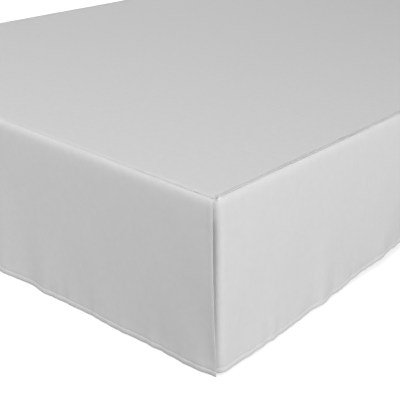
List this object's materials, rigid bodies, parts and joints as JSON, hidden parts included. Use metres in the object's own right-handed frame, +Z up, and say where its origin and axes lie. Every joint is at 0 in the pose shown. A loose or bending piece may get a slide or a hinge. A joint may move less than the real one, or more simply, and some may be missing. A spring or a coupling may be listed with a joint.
{
  "type": "bed skirt on box spring and bed frame",
  "caption": "Tailored bed skirt with split corners at the foot, hanging round a plain box spring on a low steel bed frame.",
  "frame": {"origin": "on the floor, under the middle of the bed skirt's box", "axes": "+X towards the bed's right side, +Y from the foot towards the head, +Z up"},
  "size_m": [1.5417, 2.0584, 0.391],
  "materials": {
    "skirt_cloth": "plain woven, matte",
    "ticking": "woven, matte",
    "steel": "satin",
    "cap_plastic": "matte"
  },
  "bodies": {
    "root": {"deck": "skirt_cloth", "foot_panel": "skirt_cloth", "side_panel_right": "skirt_cloth", "side_panel_left": "skirt_cloth", "foundation": "ticking", "frame_rail_right": "steel", "frame_rail_left": "steel", "frame_cross_1": "steel", "frame_cross_2": "steel", "frame_cross_3": "steel", "leg_1": "steel", "leg_2": "steel", "leg_3": "steel", "leg_4": "steel", "leg_5": "steel", "leg_6": "steel", "foot_cap_1": "cap_plastic", "foot_cap_2": "cap_plastic", "foot_cap_3": "cap_plastic", "foot_cap_4": "cap_plastic", "foot_cap_5": "cap_plastic", "foot_cap_6": "cap_plastic"}
  },
  "joints": []
}
